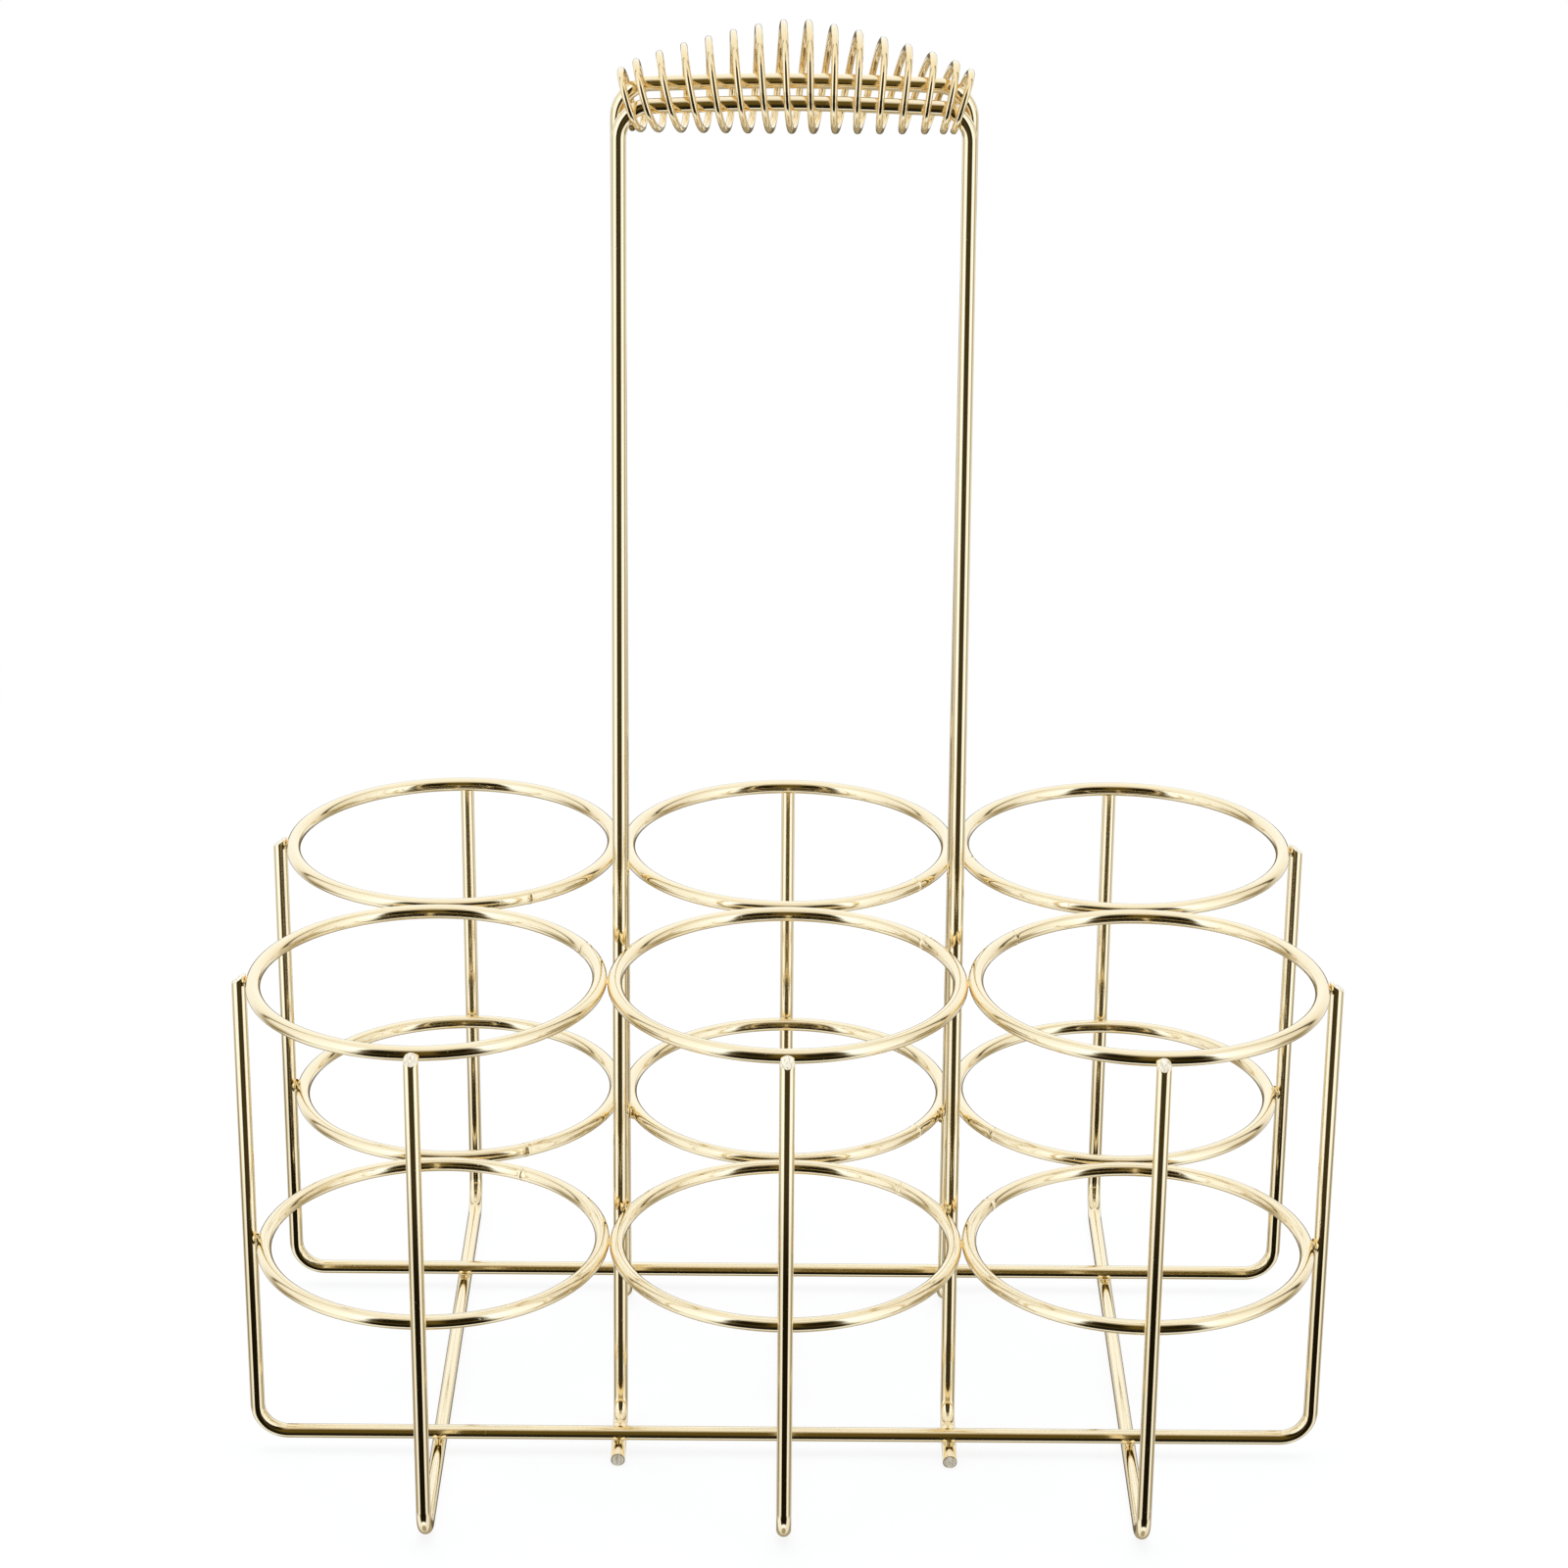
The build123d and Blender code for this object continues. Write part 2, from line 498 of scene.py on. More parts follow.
def u_frame(name, half_length, bar_height, bend, peak):
    """A bar with a post at each end, whose tops are cut off at a slant that faces outwards."""
    slant = bpy.context.scene.caddy_sizes.post_slant
    above = peak + 2 * WIRE
    points = [
        (-half_length, 0, above), (-half_length, 0, bar_height),
        (half_length, 0, bar_height), (half_length, 0, above),
    ]
    made = bend_wire(name, points, [(bend, BEND_STEPS)] * 2)
    for side in (-1, 1):
        bpy.ops.mesh.select_all(action="SELECT")
        bpy.ops.mesh.bisect(
            plane_co=(side * (half_length - WIRE / 2), 0, peak),
            plane_no=(side * math.sin(slant), 0, math.cos(slant)),
            clear_outer=True,
        )
    close_ends(made)
    return made


class CADDY_OT_rails(bpy.types.Operator):
    """Bends the two long U frames."""

    bl_idname = "caddy.rails"
    bl_label = "Long frames"

    def execute(self, context):
        bend = context.scene.caddy_sizes.rail_bend
        source = u_frame(
            "rail_source", RAIL_HIGH.x - WIRE / 2, RAIL_LOW.z + WIRE / 2, bend, RAIL_HIGH.z
        )
        for row in ROWS:
            node = f"{row}_rail_frame"
            made = copy_to(source, f"{row}_rail_wire", (0, node_centre(node).y, 0))
            finish_piece(made, "caddy", node)
        drop(source)
        return {"FINISHED"}


class CADDY_OT_runners(bpy.types.Operator):
    """Bends the three cross frames that the caddy stands on."""

    bl_idname = "caddy.runners"
    bl_label = "Cross frames"

    def execute(self, context):
        bend = context.scene.caddy_sizes.runner_bend
        source = u_frame("runner_source", RUNNER_HIGH.y - WIRE / 2, WIRE / 2, bend, RUNNER_HIGH.z)
        for column in COLUMNS:
            node = f"{column}_runner_frame"
            place = (node_centre(node).x, 0, 0)
            made = copy_to(source, f"{column}_runner_wire", place, math.radians(90))
            finish_piece(made, "caddy", node)
        drop(source)
        return {"FINISHED"}


# Where each ring's butt weld lies, in degrees from +X
SEAMS = {
    ("top", "front", "left"): 26,
    ("top", "front", "centre"): 35,
    ("top", "front", "right"): 139,
    ("top", "rear", "left"): -59,
    ("top", "rear", "centre"): -39,
    ("top", "rear", "right"): -164,
    ("lower", "front", "left"): 61,
    ("lower", "front", "centre"): 45,
    ("lower", "front", "right"): 150,
    ("lower", "rear", "left"): -62,
    ("lower", "rear", "centre"): -36,
    ("lower", "rear", "right"): -141,
}
# A seam is a groove between two lips, one lower than the other, with places counted from its middle
SEAM_LIP_PLACE = 0.24 * MM
SEAM_FOOT_PLACE = 0.6 * MM
LOWER_LIP_SHARE = 0.8
# How near the seam lie the faces that are cut, and how near to a cut its own points
SEAM_FACE_REACH = 2.5 * MM
SEAM_POINT_REACH = 0.05 * MM


class CADDY_OT_rings(bpy.types.Operator):
    """Rolls the bottle rings, each with its butt weld."""

    bl_idname = "caddy.rings"
    bl_label = "Bottle rings"

    def execute(self, context):
        source = wire_section("ring_source", (RING_RADIUS, 0, 0), (0, 1, 0))
        bpy.ops.mesh.spin(steps=RING_STEPS, angle=math.tau, center=(0, 0, 0), axis=(0, 0, 1))
        merge_and_turn_out()
        self.add_seam(source, context.scene.caddy_sizes.seam_lip)
        bpy.ops.object.mode_set(mode="OBJECT")
        give_finishes(source, "Bright plated wire")
        make_smooth(source)
        for (tier, row, column), turn in SEAMS.items():
            node = f"ring_{tier}_{row}_{column}"
            name = f"{tier}_{row}_{column}_ring_wire"
            made = copy_to(source, name, node_centre(node), math.radians(turn))
            finish_piece(made, "caddy", node)
        drop(source)
        return {"FINISHED"}

    def add_seam(self, source, lip):
        """Cuts the ring across and grows or shrinks it at the cuts."""
        for place in (-SEAM_FOOT_PLACE, -SEAM_LIP_PLACE, SEAM_LIP_PLACE, SEAM_FOOT_PLACE):
            self.select_near_seam(source, "FACE", SEAM_FACE_REACH)
            bpy.ops.mesh.bisect(plane_co=(0, place, 0), plane_no=(0, 1, 0))
        rises = ((-SEAM_LIP_PLACE, lip), (0, -lip), (SEAM_LIP_PLACE, LOWER_LIP_SHARE * lip))
        for place, rise in rises:
            self.select_near_seam(source, "VERT", SEAM_POINT_REACH, place)
            share = 1 + 2 * rise / WIRE
            bpy.ops.transform.resize(value=(share, 1, share), center_override=(RING_RADIUS, place, 0))

    @staticmethod
    def select_near_seam(source, kind, reach, place=0.0):
        """Selects what lies within reach of a place along the seam's stretch of the ring."""
        bpy.ops.mesh.select_mode(type=kind)
        bpy.ops.mesh.select_all(action="DESELECT")
        bpy.ops.object.mode_set(mode="OBJECT")
        if kind == "FACE":
            for face in source.data.polygons:
                face.select = face.center.x > 0 and abs(face.center.y - place) < reach
        else:
            for point in source.data.vertices:
                point.select = point.co.x > 0 and abs(point.co.y - place) < reach
        bpy.ops.object.mode_set(mode="EDIT")


class CADDY_OT_bails(bpy.types.Operator):
    """Bends the two tall bails, from foot to foot."""

    bl_idname = "caddy.bails"
    bl_label = "Handle bails"

    def execute(self, context):
        sizes = context.scene.caddy_sizes
        top_bends = (sizes.front_bail_bend, sizes.rear_bail_bend)
        for row, side, top_bend in zip(ROWS, (-1, 1), top_bends):
            foot, top = (sizes.foot_bend, BEND_STEPS), (top_bend, BEND_STEPS)
            crown = (sizes.crown_radius, CROWN_STEPS)
            made = bend_wire(f"{row}_bail_wire", bail_points(row, side), [foot, top, crown, top, foot])
            close_ends(made)
            finish_piece(made, "caddy", f"{row}_handle_bail")
        return {"FINISHED"}


def bail_reaches(row):
    """How far out a bail's legs stand: at the foot, at the lower ring that they touch, and at the top."""
    sizes = bpy.context.scene.caddy_sizes
    narrowing = sizes.front_narrowing if row == "front" else sizes.rear_narrowing
    high = BAIL_BOX[row][1]
    touch_height = node_centre("ring_lower_rear_centre").z
    corner_height = high.z - WIRE / 2 - sizes.crown_drop
    below_share = (touch_height - WIRE / 2) / (corner_height - touch_height)
    foot_reach = high.x - WIRE / 2
    touch_reach = foot_reach / (1 + (1 - narrowing) * below_share)
    return foot_reach, touch_reach, narrowing * touch_reach


def bail_points(row, side):
    """Corners of a bail's centre line, from its left foot to its right one, read from the frame."""
    sizes = bpy.context.scene.caddy_sizes
    low, high = BAIL_BOX[row]
    foot_reach, touch_reach, top_reach = bail_reaches(row)
    crown_rise = sizes.crown_radius * (1 / math.cos(math.atan(sizes.crown_drop / top_reach)) - 1)
    inner_edge = low.y if side > 0 else high.y
    bar_y = inner_edge + side * WIRE / 2
    toe_y = high.y if side > 0 else low.y
    touch_y, touch_height = leg_touch(side, touch_reach)
    bar_height = high.z - WIRE / 2
    corner_height = bar_height - sizes.crown_drop
    lean = (touch_y - bar_y) / (corner_height - touch_height)
    foot_y = touch_y + lean * (touch_height - WIRE / 2)
    left, right = (
        [(end * foot_reach, toe_y, WIRE / 2), (end * foot_reach, foot_y, WIRE / 2),
         (end * top_reach, bar_y, corner_height)]
        for end in (-1, 1)
    )
    return [*left, (0, bar_y, bar_height + crown_rise), *reversed(right)]


def leg_touch(side, reach):
    """Where a bail's leg meets the lower middle ring of its row: its Y and its height."""
    ring = node_centre("ring_lower_rear_centre")
    touch_radius = RING_RADIUS + WIRE + WELD_GAP
    return side * (ring.y - math.sqrt(touch_radius ** 2 - reach ** 2)), ring.z


# The coil: its turns grow to the middle with their undersides level, and close up at the ends
COIL_MIDDLE_HEIGHT = 24.3 * MM
COIL_END_HEIGHT = 12.066 * MM
COIL_END_X = 38.7 * MM
COIL_CLOSING_TURNS = 2
COIL_CLOSING_PITCH = 1.35 * MM
COIL_LEAN = 4.0 * MM
COIL_TILT = 0.3 * MM
COIL_SWING = 0.5 * MM
COIL_DEPTH_SHARE = 1.09
HEIGHT_FADE_POWER = 1.35
LEAN_FADE_POWER = 1.6


def coil_point(turn, turns, underside):
    """Centre of the coil's wire after a number of turns from the left end loop."""
    half = turns / 2
    pitch = (COIL_END_X - COIL_CLOSING_PITCH * COIL_CLOSING_TURNS / 2) / (half - COIL_CLOSING_TURNS / 2)
    side = math.copysign(1, turn - half)
    away = abs(turn - half)
    fade = min(away / half, 1)
    height = COIL_MIDDLE_HEIGHT - (COIL_MIDDLE_HEIGHT - COIL_END_HEIGHT) * fade ** HEIGHT_FADE_POWER
    closing = max(away - half + COIL_CLOSING_TURNS, 0)
    along = pitch * away - (pitch - COIL_CLOSING_PITCH) * closing ** 2 / (2 * COIL_CLOSING_TURNS)
    lean = COIL_LEAN * (1 - (1 - fade) ** LEAN_FADE_POWER)
    angle = math.tau * turn
    sideways = COIL_SWING * math.sin(angle) - COIL_TILT * math.cos(angle)
    return Vector((
        side * (along - lean / 2 * math.cos(angle)) + sideways,
        COIL_DEPTH_SHARE * height / 2 * math.sin(angle),
        underside + height / 2 * (1 - math.cos(angle)),
    ))


class CADDY_OT_coil(bpy.types.Operator):
    """Winds the coil grip round both top bars."""

    bl_idname = "caddy.coil"
    bl_label = "Coil grip"

    def execute(self, context):
        sizes = context.scene.caddy_sizes
        turns = sizes.coil_turns
        underside = COIL_LOW.z + sizes.coil_wire / 2
        count = turns * COIL_STEPS_PER_TURN
        points = [coil_point(i / COIL_STEPS_PER_TURN, turns, underside) for i in range(count + 1)]
        start_clean()
        line = bpy.data.curves.new("coil_grip_wire", "CURVE")
        line.dimensions = "3D"
        line.bevel_depth = sizes.coil_wire / 2
        # A bevelled line has four sides at resolution 0 and two more for each step
        line.bevel_resolution = COIL_SIDES // 2 - 2
        line.use_fill_caps = True
        spline = line.splines.new("POLY")
        spline.points.add(len(points) - 1)
        for knot, point in zip(spline.points, points):
            knot.co = (*point, 1)
        made = bpy.data.objects.new("coil_grip_wire", line)
        context.scene.collection.objects.link(made)
        made.select_set(True)
        context.view_layer.objects.active = made
        bpy.ops.object.convert(target="MESH")
        made = context.object
        edit_all(made)
        merge_and_turn_out()
        bpy.ops.object.mode_set(mode="OBJECT")
        give_finishes(made, "Bright coil wire", "Plated weld")
        # Only the caps of the ends are triangles
        for face in made.data.polygons:
            face.material_index = 1 if len(face.vertices) == 3 else 0
        make_smooth(made)
        finish_piece(made, "grip", "coil_grip")
        return {"FINISHED"}


# The welds at the posts' tops lie a little under their cut faces
TOP_WELD_DROP = -0.9 * MM
X_AXIS, Y_AXIS, Z_AXIS = Vector((1, 0, 0)), Vector((0, 1, 0)), Vector((0, 0, 1))


def weld_places():
    """Every place where two wires touch: its group, place, the way across, the way along and its kind."""
    half_step = (WIRE + WELD_GAP) / 2
    kinds = {"top": "top", "lower": "crossing"}
    shift = {"top": Z_AXIS * TOP_WELD_DROP, "lower": Z_AXIS * 0}
    centres = {
        (tier, row, column): node_centre(f"ring_{tier}_{row}_{column}")
        for tier in TIERS for row in ROWS for column in COLUMNS
    }
    for tier in TIERS:
        for row, side in zip(ROWS, (-1, 1)):
            for column in COLUMNS[:-1]:
                ring = centres[tier, row, column]
                place = ring + X_AXIS * (RING_RADIUS + half_step)
                yield f"{tier}_ring_welds", place, X_AXIS, Y_AXIS, "side"
            for column, end in (("left", -1), ("right", 1)):
                ring = centres[tier, row, column]
                place = ring + X_AXIS * end * (RING_RADIUS + half_step)
                yield f"{tier}_post_welds", place + shift[tier], X_AXIS * end, Z_AXIS, kinds[tier]
            for column in COLUMNS:
                ring = centres[tier, row, column]
                place = ring + Y_AXIS * side * (RING_RADIUS + half_step)
                yield f"{tier}_post_welds", place + shift[tier], Y_AXIS * side, Z_AXIS, kinds[tier]
        for column in COLUMNS:
            ring = centres[tier, "front", column]
            place = ring + Y_AXIS * (RING_RADIUS + half_step)
            yield f"{tier}_ring_welds", place, Y_AXIS, X_AXIS, "side"
    under_rail = WIRE + WELD_GAP / 2
    for row, side in zip(ROWS, (-1, 1)):
        rail = node_centre(f"{row}_rail_frame").y
        for column in COLUMNS:
            runner = node_centre(f"{column}_runner_frame").x
            yield "runner_welds", Vector((runner, rail, under_rail)), Z_AXIS, Y_AXIS, "crossing"
        foot_reach, touch_reach, _ = bail_reaches(row)
        touch_y, height = leg_touch(side, touch_reach)
        ring = centres["lower", row, "centre"]
        for end in (-1, 1):
            outward = (Vector((end * touch_reach, touch_y, height)) - ring).normalized()
            place = ring + outward * (RING_RADIUS + half_step)
            yield "bail_welds", place, outward, Z_AXIS, "crossing"
            place = Vector((end * foot_reach, rail, under_rail))
            yield "bail_welds", place, Z_AXIS, Y_AXIS, "crossing"


# Half profile of a weld's waist: how far across, and how wide there
WELD_PROFILE = ((-1.0, 1.5), (-0.5, 1.12), (0.0, 1.0), (0.5, 1.12), (1.0, 1.5))
WELD_SIDES = 14
# Half sizes of a weld: across, then along and sideways as shares of its reach
WELD_SHAPES = {
    "crossing": (0.75 * MM, 1.0, 0.85),
    "top": (0.6 * MM, 0.75, 0.7),
    "side": (0.3 * MM, 1.3, 0.28),
}
# Welds differ a little in reach and shape, and the seeds keep every draw the same
WELD_VARIATION = (0.88, 1.12)
WELD_SEED = 7
WAIST_ROUGHNESS = 0.07
WAIST_SEED = 3
# Which ways specks of spatter lie from a weld: along it and back
SPATTER_WAYS = {"crossing": (-1, 1), "top": (-1,), "side": ()}
# A speck's turn in degrees to either side, radius in millimetres and distance as a share of the reach
SPATTER_TURN = 35
SPATTER_RADIUS = (0.3, 0.5)
SPATTER_DISTANCE = (0.85, 1.05)
SPATTER_LENGTH_SHARE = 1.5
SPATTER_ROUGHNESS = 0.12
SPATTER_SEED = 5


class CADDY_OT_welds(bpy.types.Operator):
    """Fills every place where two wires touch with squeezed-out weld metal."""

    bl_idname = "caddy.welds"
    bl_label = "Welds"

    def execute(self, context):
        reach = context.scene.caddy_sizes.weld_reach
        chance = random.Random(WELD_SEED)
        source = self.waist()
        bead = self.bead()
        groups = {}
        for group, place, across, along, kind in weld_places():
            depth, length_share, side_share = WELD_SHAPES[kind]
            sideways = along.cross(across)
            vary = chance.uniform(*WELD_VARIATION)
            lengths = (reach * length_share * vary, reach * side_share * vary, depth)
            parts = groups.setdefault(group, [])
            parts.append(self.set_in(source, place, (along, sideways, across), lengths))
            for way in SPATTER_WAYS[kind]:
                turned = math.radians(chance.uniform(-SPATTER_TURN, SPATTER_TURN))
                out = along * math.cos(turned) + sideways * math.sin(turned)
                size = chance.uniform(*SPATTER_RADIUS) * MM
                tip = place + out * way * reach * chance.uniform(*SPATTER_DISTANCE)
                axes = (out, along.cross(out), across)
                parts.append(self.set_in(bead, tip, axes, (size * SPATTER_LENGTH_SHARE, size, size)))
        for group, parts in groups.items():
            start_clean()
            for part in parts:
                part.select_set(True)
            context.view_layer.objects.active = parts[0]
            bpy.ops.object.join()
            made = context.object
            made.name = made.data.name = group
            edit_all(made)
            bpy.ops.mesh.normals_make_consistent(inside=False)
            bpy.ops.object.mode_set(mode="OBJECT")
            give_finishes(made, "Plated weld")
            bpy.ops.object.shade_smooth()
            finish_piece(made, "caddy")
        drop(source)
        drop(bead)
        return {"FINISHED"}

    @staticmethod
    def waist():
        """A waisted plug one unit wide, with Z across the weld."""
        start_clean()
        low, wide = WELD_PROFILE[0]
        bpy.ops.mesh.primitive_circle_add(
            vertices=WELD_SIDES, radius=wide, fill_type="TRIFAN", location=(0, 0, low)
        )
        made = bpy.context.object
        bpy.ops.object.transform_apply(location=True, rotation=True, scale=True)
        edit_all(made)
        for place, next_wide in WELD_PROFILE[1:]:
            bpy.ops.mesh.extrude_region_move(TRANSFORM_OT_translate={"value": (0, 0, place - low)})
            share = next_wide / wide
            bpy.ops.transform.resize(value=(share, share, 1), center_override=(0, 0, place))
            low, wide = place, next_wide
        merge_and_turn_out()
        bpy.ops.transform.vertex_random(offset=WAIST_ROUGHNESS, seed=WAIST_SEED)
        bpy.ops.object.mode_set(mode="OBJECT")
        rounding = made.modifiers.new("Rounding", "SUBSURF")
        rounding.levels = rounding.render_levels = 1
        bpy.ops.object.modifier_apply(modifier=rounding.name)
        return made

    @staticmethod
    def bead():
        """A small drop of spatter, one unit in radius."""
        start_clean()
        bpy.ops.mesh.primitive_ico_sphere_add(subdivisions=2, radius=1)
        made = bpy.context.object
        edit_all(made)
        bpy.ops.transform.vertex_random(offset=SPATTER_ROUGHNESS, seed=SPATTER_SEED)
        bpy.ops.object.mode_set(mode="OBJECT")
        return made

    @staticmethod
    def set_in(source, place, axes, lengths):
        """A copy stretched along three axes, at its place."""
        columns = [axis.normalized() * length for axis, length in zip(axes, lengths)]
        turn = Matrix(columns).transposed().to_4x4()
        made = source.copy()
        made.data = source.data.copy()
        made.data.transform(Matrix.Translation(place) @ turn)
        bpy.context.scene.collection.objects.link(made)
        return made


# The camera, fitted to the caddy's rings, posts and bars. Its turns are in radians, its lens and sensor
# in millimetres.
CAMERA_PLACE = Vector((-0.001971, -0.930221, 0.526567))
CAMERA_YAW = 0.000824
CAMERA_PITCH = 0.374651
CAMERA_ROLL = -0.007703
CAMERA_LENS = 94.70
CAMERA_SENSOR = 36
CAMERA_NEAREST = 0.02

FLOOR_SIZE = 1.6
FLOOR_CUTS = 7
# The floor fades into the white room between these distances from its middle, where it starts this white
FLOOR_FADE = (0.15, 0.6)
FLOOR_WHITENESS = 0.86

LAMP_SIZE = (1.2, 0.9)
LAMP_PLACE = (0, 0.1, 1.5)
LAMP_POWER = 12

# The room mirrored in the plating, in bands from the table up. Each has its lower edge and how softly it
# starts, in degrees, then its stops from behind by the left, front and right to behind: place, level and
# warmth.
BANDS = (
    (-74, 3, (
        (0.000, 0.70, -0.3), (0.300, 0.90, -0.5), (0.420, 1.05, -0.7), (0.580, 1.05, -0.7),
        (0.700, 0.85, -0.5), (1.000, 0.70, -0.3),
    )),
    (-60, 3, (
        (0.000, 0.20, 0.9), (0.070, 0.30, 0.8), (0.150, 0.93, -0.6), (0.335, 1.00, -0.6),
        (0.357, 0.22, 0.9), (0.378, 0.01, 1.8), (0.622, 0.01, 1.8), (0.643, 0.22, 0.9),
        (0.665, 0.98, -0.6), (0.720, 0.90, -0.4), (0.800, 0.80, -0.2), (0.850, 0.93, -0.5),
        (0.930, 0.30, 0.8), (1.000, 0.20, 0.9),
    )),
    (-36, 4, (
        (0.000, 0.12, 1.1), (0.060, 0.16, 1.0), (0.100, 0.80, -0.4), (0.140, 0.80, -0.4),
        (0.165, 0.30, 0.9), (0.220, 0.22, 1.0), (0.262, 0.55, 0.35), (0.310, 0.90, -0.4),
        (0.374, 1.00, -0.6), (0.388, 0.10, 1.3), (0.400, 0.01, 1.8), (0.600, 0.01, 1.8),
        (0.612, 0.10, 1.3), (0.626, 1.08, -0.7), (0.680, 0.95, -0.5), (0.736, 0.45, 0.55),
        (0.792, 0.22, 1.0), (0.840, 0.50, 0.35), (0.895, 0.90, -0.5), (0.940, 0.16, 1.0),
        (1.000, 0.12, 1.1),
    )),
    (-19, 3, (
        (0.000, 0.15, 1.1), (0.055, 0.20, 1.0), (0.095, 0.95, -0.5), (0.140, 0.95, -0.5),
        (0.180, 0.55, 0.35), (0.240, 0.62, 0.25), (0.285, 1.10, -0.8), (0.388, 1.10, -0.8),
        (0.403, 0.12, 1.4), (0.430, 0.05, 1.6), (0.570, 0.05, 1.6), (0.597, 0.12, 1.4),
        (0.612, 1.10, -0.8), (0.715, 1.10, -0.8), (0.740, 0.50, 0.55), (0.795, 0.45, 0.65),
        (0.850, 0.85, -0.2), (0.905, 0.97, -0.5), (0.945, 0.20, 1.0), (1.000, 0.15, 1.1),
    )),
    (-2, 3, (
        (0.000, 1.03, -0.7), (0.130, 0.99, -0.5), (0.174, 0.90, -0.3), (0.183, 0.16, 1.5),
        (0.191, 0.16, 1.5), (0.200, 0.92, -0.3), (0.290, 1.02, -0.6), (0.345, 1.10, -0.8),
        (0.389, 1.35, -1.0), (0.403, 0.08, 1.7), (0.420, 0.01, 1.9), (0.465, 0.02, 1.9),
        (0.482, 0.11, 2.0), (0.518, 0.11, 2.0), (0.535, 0.02, 1.9), (0.580, 0.01, 1.9),
        (0.597, 0.08, 1.7), (0.611, 1.35, -1.0), (0.655, 1.10, -0.8), (0.740, 0.92, -0.3),
        (0.800, 0.82, 0.0), (0.812, 0.06, 1.8), (0.823, 0.06, 1.8), (0.836, 0.86, -0.1),
        (0.880, 0.98, -0.4), (1.000, 1.03, -0.7),
    )),
    (49, 4, (
        (0.000, 1.00, -0.7), (0.174, 0.94, -0.4), (0.190, 0.40, 1.0), (0.206, 0.94, -0.4),
        (0.280, 0.97, -0.5), (0.380, 0.92, -0.5), (0.415, 0.42, 0.65), (0.500, 0.46, 0.65),
        (0.585, 0.42, 0.65), (0.620, 0.86, -0.3), (0.740, 0.92, -0.3), (0.798, 0.88, -0.1),
        (0.817, 0.25, 1.2), (0.836, 0.90, -0.2), (0.870, 0.96, -0.4), (1.000, 1.00, -0.7),
    )),
    (66, 6, (
        (0.000, 1.00, -0.4), (0.500, 0.94, -0.3), (1.000, 1.00, -0.4),
    )),
)
# The table top under the bands, as the plating shows it: painted shade, a grey that stands in for the
# white table lying in the caddy's own shadow
SHADED_TABLE = (0.40, 0.36, 0.27)
# Behind the caddy this painted shade reaches up into the bands: how many degrees below level it starts and
# is full, and how far back, as the Y of the way looked
SHADED_TABLE_HEIGHTS = (31, 38)
SHADED_TABLE_BACK = (0.3, 0.42)


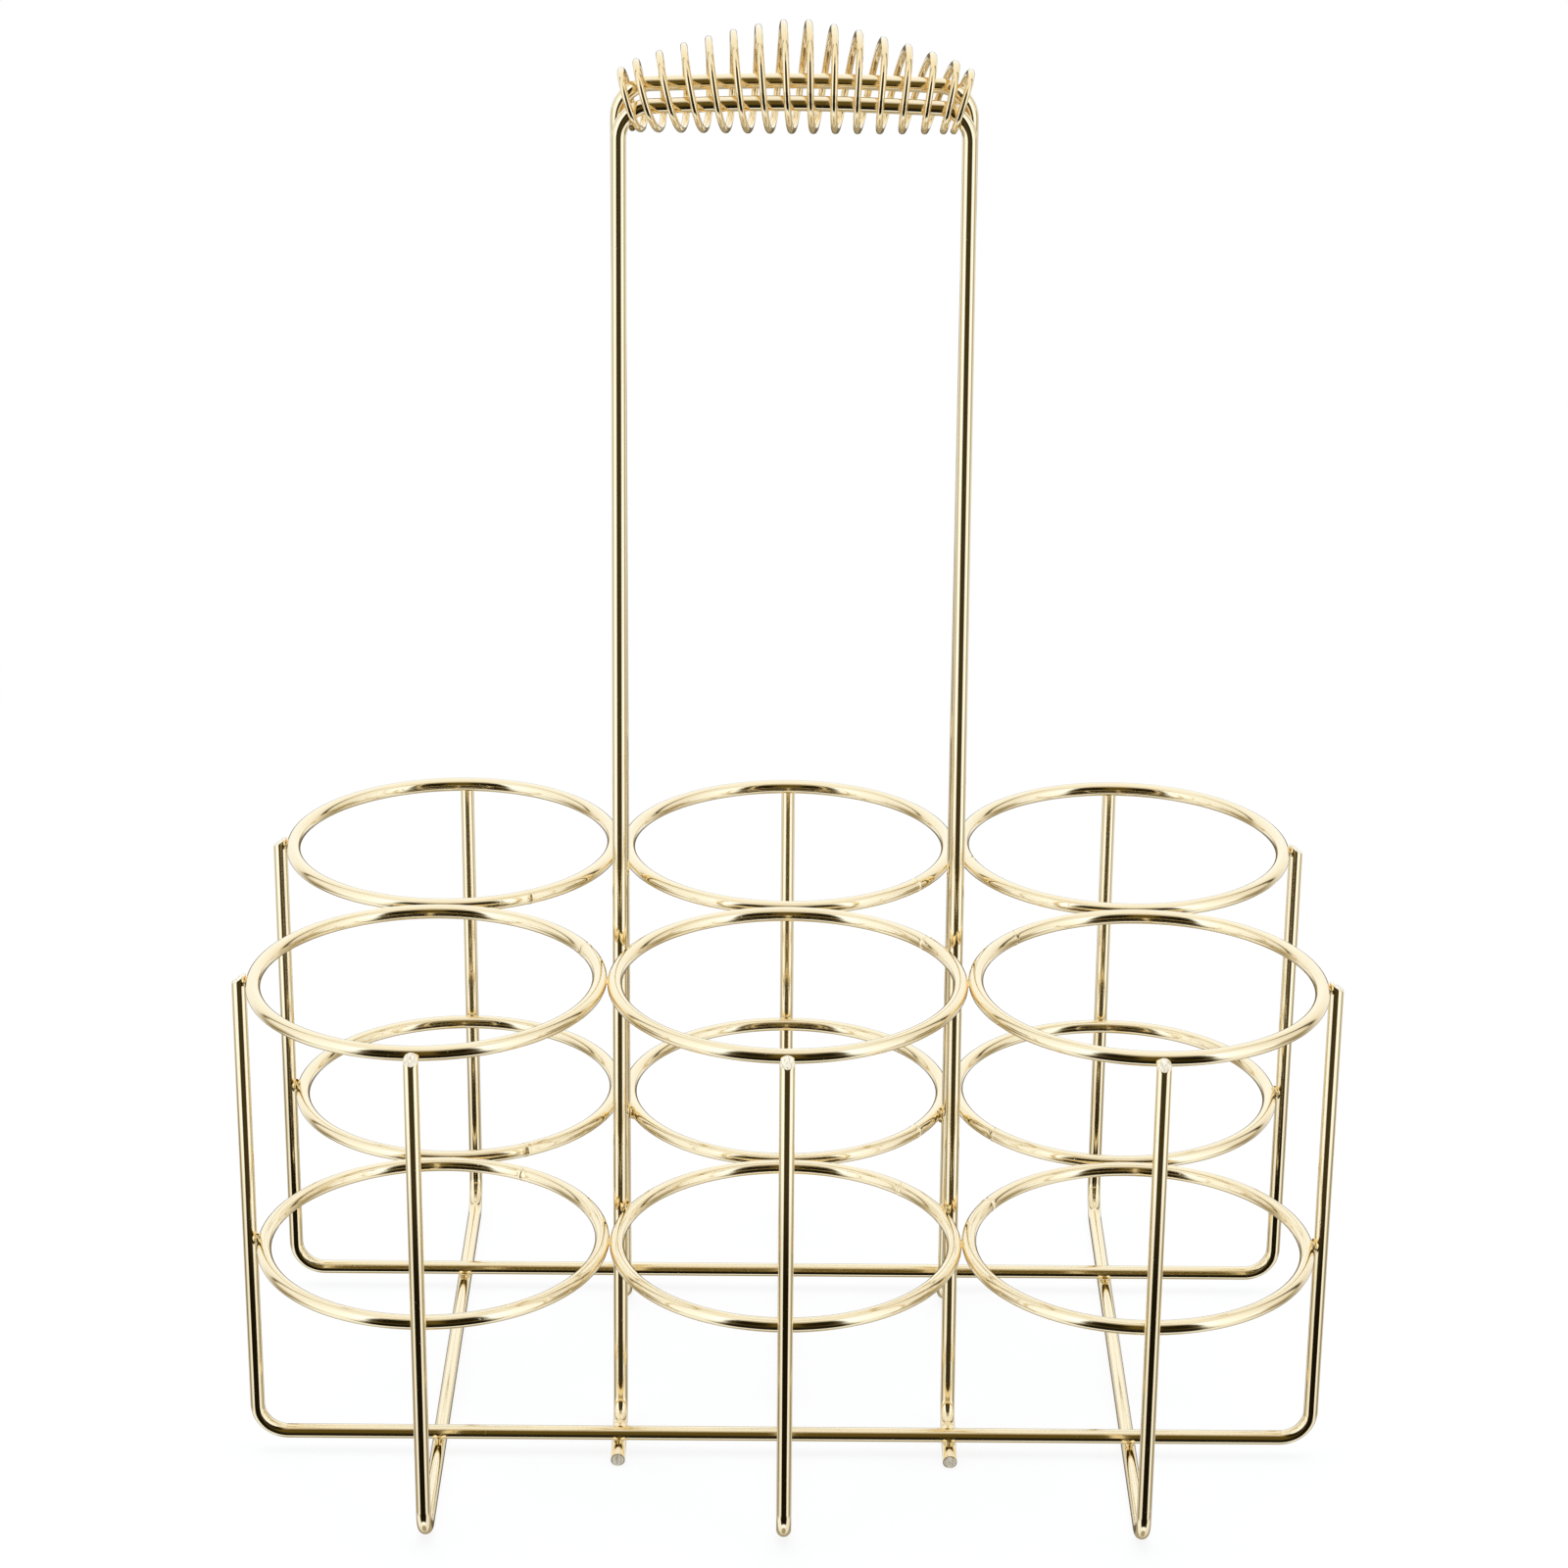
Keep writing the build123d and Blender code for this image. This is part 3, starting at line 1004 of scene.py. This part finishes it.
class CADDY_OT_stage(bpy.types.Operator):
    """Sets the camera, the white room, the pale floor and the lamp."""

    bl_idname = "caddy.stage"
    bl_label = "Camera, room and floor"

    def execute(self, context):
        self.camera(context.scene)
        self.room(context.scene)
        self.floor(context)
        self.lamp(context.scene)
        context.scene.view_settings.view_transform = "Standard"
        return {"FINISHED"}

    @staticmethod
    def camera(scene):
        """A camera at the photograph's place and angle."""
        forward = Vector((
            math.sin(CAMERA_YAW) * math.cos(CAMERA_PITCH),
            math.cos(CAMERA_YAW) * math.cos(CAMERA_PITCH),
            -math.sin(CAMERA_PITCH),
        ))
        right = Vector((math.cos(CAMERA_YAW), -math.sin(CAMERA_YAW), 0))
        down = forward.cross(right)
        across = right * math.cos(CAMERA_ROLL) + down * math.sin(CAMERA_ROLL)
        up = right * math.sin(CAMERA_ROLL) - down * math.cos(CAMERA_ROLL)
        data = bpy.data.cameras.new("Camera")
        data.lens = CAMERA_LENS
        data.sensor_width = CAMERA_SENSOR
        data.clip_start = CAMERA_NEAREST
        camera = bpy.data.objects.new("Camera", data)
        turn = Matrix((across, up, -forward)).transposed().to_4x4()
        camera.matrix_world = Matrix.Translation(CAMERA_PLACE) @ turn
        scene.collection.objects.link(camera)
        scene.camera = camera

    @staticmethod
    def room(scene):
        """White to the camera; softboxes, dark gaps, a bright ceiling and the table's painted shade to the
        plating.
        """
        world = bpy.data.worlds.new("Room")
        scene.world = world
        tree = Tree(world)
        way = tree.node("ShaderNodeTexCoord", output="Generated")
        parts = tree.node("ShaderNodeSeparateXYZ", {}, {0: way})
        x, y, z = (Value(tree, parts.socket.node.outputs[i]) for i in range(3))
        turn = tree.node("ShaderNodeMath", {"operation": "ARCTAN2"}, {0: x, 1: 0.0 - y})
        share = turn * (0.5 / math.pi) + 0.5
        # Below the bands the plating sees painted shade: the table in the caddy's own shadow
        seen = SHADED_TABLE
        for edge, softness, stops in BANDS:
            band = tree.node("ShaderNodeValToRGB", {"stops": stops}, {0: share})
            low, high = (math.sin(math.radians(edge + side * softness)) for side in (-1, 1))
            seen = tree.mix(z.smooth(low, high), seen, band)
        low, high = (math.sin(math.radians(height)) for height in SHADED_TABLE_HEIGHTS)
        # Painted shade of the table behind the caddy, reaching up into the lower bands
        seen = tree.mix((0.0 - z).smooth(low, high) * y.smooth(*SHADED_TABLE_BACK), seen, SHADED_TABLE)
        path = tree.node("ShaderNodeLightPath").socket.node.outputs
        straight = Value(tree, path["Is Camera Ray"])
        colour = tree.mix(straight, seen, WHITE)
        shader = tree.node("ShaderNodeBackground", {}, {"Color": colour, "Strength": 1.0})
        tree.node("ShaderNodeOutputWorld", {}, {"Surface": shader})

    @staticmethod
    def floor(context):
        """A pale floor that fades into the white room."""
        start_clean()
        bpy.ops.mesh.primitive_plane_add(size=FLOOR_SIZE, location=(0, 0, 0))
        floor = context.object
        floor.name = floor.data.name = "floor"
        edit_all(floor)
        bpy.ops.mesh.subdivide(number_cuts=FLOOR_CUTS)
        bpy.ops.object.mode_set(mode="OBJECT")
        material = bpy.data.materials.new("Pale floor")
        tree = Tree(material)
        place = tree.node("ShaderNodeTexCoord", output="Object")
        distance = tree.node("ShaderNodeVectorMath", {"operation": "LENGTH"}, {0: place}, output="Value")
        fade = distance.smooth(*FLOOR_FADE) * (1 - FLOOR_WHITENESS) + FLOOR_WHITENESS
        matte = tree.node("ShaderNodeBsdfDiffuse", {}, {"Color": context.scene.caddy_finish.floor})
        white = tree.node("ShaderNodeEmission", {}, {"Color": WHITE, "Strength": 1.0})
        shader = tree.node("ShaderNodeMixShader", {}, {0: fade, 1: matte, 2: white})
        tree.node("ShaderNodeOutputMaterial", {}, {"Surface": shader})
        floor.data.materials.append(material)
        floor.visible_glossy = False

    @staticmethod
    def lamp(scene):
        """A large soft lamp overhead."""
        data = bpy.data.lights.new("Overhead softbox", "AREA")
        data.shape = "RECTANGLE"
        data.size, data.size_y = LAMP_SIZE
        data.energy = LAMP_POWER
        lamp = bpy.data.objects.new("Overhead softbox", data)
        lamp.location = LAMP_PLACE
        lamp.visible_glossy = False
        scene.collection.objects.link(lamp)


class CADDY_PT_panel(bpy.types.Panel):
    """Lists the steps, sizes and colours."""

    bl_label = "Wire bottle caddy"
    bl_space_type = "VIEW_3D"
    bl_region_type = "UI"
    bl_category = "Caddy"

    def draw(self, context):
        for step in STEPS:
            self.layout.operator(step.bl_idname)
        for group in (context.scene.caddy_sizes, context.scene.caddy_finish):
            for key in group.__annotations__:
                self.layout.prop(group, key)


STEPS = (
    CADDY_OT_rails, CADDY_OT_runners, CADDY_OT_rings, CADDY_OT_bails, CADDY_OT_coil, CADDY_OT_welds,
    CADDY_OT_stage,
)
CLASSES = (CaddySizes, CaddyFinish, *STEPS, CADDY_PT_panel)


def register():
    for item in CLASSES:
        bpy.utils.register_class(item)
    bpy.types.Scene.caddy_sizes = bpy.props.PointerProperty(type=CaddySizes)
    bpy.types.Scene.caddy_finish = bpy.props.PointerProperty(type=CaddyFinish)


def unregister():
    del bpy.types.Scene.caddy_finish
    del bpy.types.Scene.caddy_sizes
    for item in reversed(CLASSES):
        bpy.utils.unregister_class(item)


def main():
    """Builds every piece and the stage."""
    register()
    for step in STEPS:
        group, name = step.bl_idname.split(".")
        getattr(getattr(bpy.ops, group), name)()


if __name__ == "__main__":
    main()
